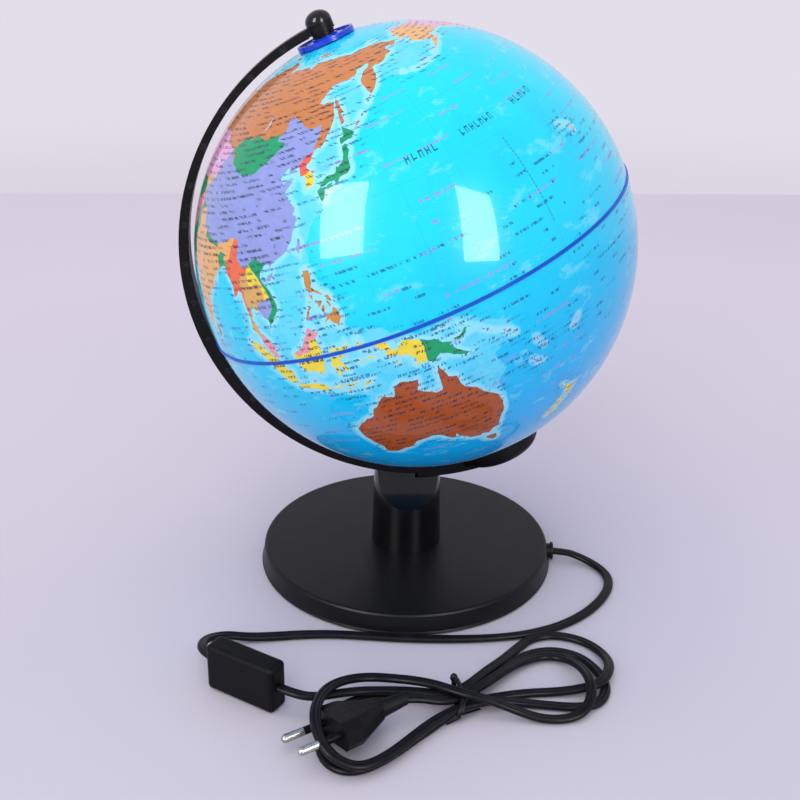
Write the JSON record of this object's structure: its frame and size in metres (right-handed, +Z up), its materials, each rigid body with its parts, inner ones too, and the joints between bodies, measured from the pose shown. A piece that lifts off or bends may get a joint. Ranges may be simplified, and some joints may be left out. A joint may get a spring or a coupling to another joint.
{
  "type": "desktop globe on stand",
  "caption": "Tilted printed earth globe with an inner lamp, carried by a curved black arm on a round base, with mains lead, inline switch and bundled plug.",
  "frame": {"origin": "centre of the base's underside, on the surface the base stands on", "axes": "+Z up along the base's axis, -Y towards the front with the switch and the bundled lead, +X to the side where the lead leaves the base; the globe's axis lies in the XZ plane with its north pole leaning 23.5 degrees towards -X"},
  "size_m": [0.2382, 0.3069, 0.3055],
  "materials": {
    "base_satin_black": "satin moulded black plastic",
    "inner_black": "matte black plastic",
    "foot_rubber": "matte rubber foam",
    "soft_black": "soft black vinyl",
    "post_gloss_black": "polished black plastic",
    "arm_black": "semi-gloss black plastic",
    "screw_steel": "zinc plated steel",
    "contact_brass": "brass",
    "bulb_nickel": "nickel plated brass",
    "bulb_glass": "clear glass",
    "cord_black": "black vinyl, slight sheen",
    "plug_black": "moulded black plastic, slight sheen",
    "pin_nickel": "nickel plated brass",
    "dial_blue": "blue tinted plastic with raised figures",
    "map_north": "printed map under clear gloss, blue sea",
    "map_south": "printed map under clear gloss, blue sea",
    "ring_blue": "dark blue plastic"
  },
  "bodies": {
    "stand": {"base_shell": "base_satin_black", "base_plate": "inner_black", "base_screws": "screw_steel", "foot_ring": "foot_rubber", "lead_clip": "inner_black", "lead_clip_screws": "screw_steel", "cord_grommet": "soft_black", "pedestal_post": "post_gloss_black", "post_screws": "screw_steel", "meridian_arm": "arm_black", "arm_screw": "screw_steel", "pole_pin": "screw_steel", "pole_spacer": "arm_black", "pole_knob": "post_gloss_black", "lamp_holder_cup": "arm_black", "lamp_socket": "inner_black", "cup_screws": "screw_steel", "socket_sleeve": "contact_brass", "socket_contact": "contact_brass", "bulb_cap": "bulb_nickel", "bulb_glass": "bulb_glass", "bulb_filament": "contact_brass", "lamp_lead": "cord_black", "mains_lead_a": "cord_black", "mains_lead_b": "cord_black", "mains_lead_c": "cord_black", "cord_hank": "cord_black", "cord_tie": "soft_black", "switch_front_shell": "plug_black", "switch_back_shell": "plug_black", "switch_screws": "screw_steel", "switch_contacts": "contact_brass", "plug_body": "plug_black", "plug_relief": "soft_black", "plug_pins": "pin_nickel", "plug_sleeves": "plug_black"},
    "globe": {"north_hemisphere": "map_north", "south_hemisphere": "map_south", "equator_ring": "ring_blue", "north_bush": "ring_blue", "south_collar": "inner_black"},
    "time_dial": {"time_dial": "dial_blue"},
    "switch_rocker": {"switch_rocker": "plug_black"}
  },
  "joints": [
    {"name": "globe_spin", "type": "hinge", "parent": "stand", "child": "globe", "pos_m": [0.0023, 0, 0.1858], "axis": [-0.3987, 0, 0.9171], "continuous": true},
    {"name": "time_dial_turn", "type": "hinge", "parent": "globe", "child": "time_dial", "pos_m": [0.0023, 0, 0.1858], "axis": [-0.3987, 0, 0.9171], "continuous": true},
    {"name": "rocker_turn", "type": "hinge", "parent": "stand", "child": "switch_rocker", "pos_m": [-0.08151, -0.12647, 0.0125], "axis": [0, 0, 1], "range_deg": [0, 18]}
  ]
}
